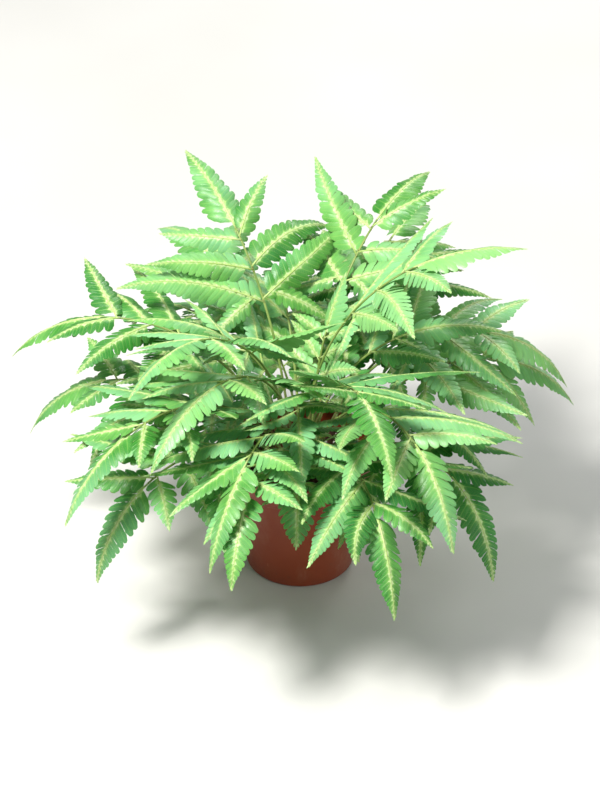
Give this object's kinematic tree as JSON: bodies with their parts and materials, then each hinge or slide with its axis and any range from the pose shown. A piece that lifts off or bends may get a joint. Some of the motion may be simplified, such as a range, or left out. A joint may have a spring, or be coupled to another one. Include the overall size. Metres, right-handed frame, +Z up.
{
  "type": "potted variegated east indian holly fern",
  "caption": "Potted fern: a thin-walled tapered plastic pot of potting mix holds arching fronds of toothed, pale-striped leaflets over a short rhizome.",
  "frame": {"origin": "centre of the pot's flat base, on the surface that the pot stands on", "axes": "+Z up along the pot's axis; -Y towards the viewer of the picture, where the front fronds hang over the rim; +X to that viewer's right"},
  "size_m": [0.4402, 0.4396, 0.2889],
  "materials": {
    "pot_plastic": "satin moulded plastic, terracotta brown, lightly scuffed",
    "potting_mix": null,
    "rhizome": "brown, rough, scaly",
    "leaf": null,
    "young_leaf": "soft satin leaf, pale yellow-green",
    "crozier": "soft green stalk with brown scales"
  },
  "bodies": {
    "root": {"pot": "pot_plastic", "potting_mix": "potting_mix", "rhizome": "rhizome", "frond_01": "leaf", "frond_02": "leaf", "frond_03": "leaf", "frond_04": "leaf", "frond_05": "leaf", "frond_06": "leaf", "frond_07": "leaf", "frond_08": "leaf", "frond_09": "leaf", "frond_10": "leaf", "frond_11": "leaf", "frond_12": "leaf", "frond_13": "leaf", "frond_14": "leaf", "frond_15": "leaf", "frond_16": "leaf", "frond_17": "leaf", "frond_18": "leaf", "frond_19": "leaf", "frond_20": "leaf", "frond_21": "leaf", "frond_22": "leaf", "frond_23": "leaf", "frond_24": "leaf", "frond_25": "leaf", "frond_26": "leaf", "frond_27": "leaf", "frond_28": "leaf", "frond_29": "leaf", "frond_30": "leaf", "frond_31": "leaf", "frond_32": "leaf", "frond_33": "leaf", "frond_34": "leaf", "frond_35": "leaf", "young_frond": "young_leaf", "crozier_1": "crozier", "crozier_2": "crozier"}
  },
  "joints": []
}
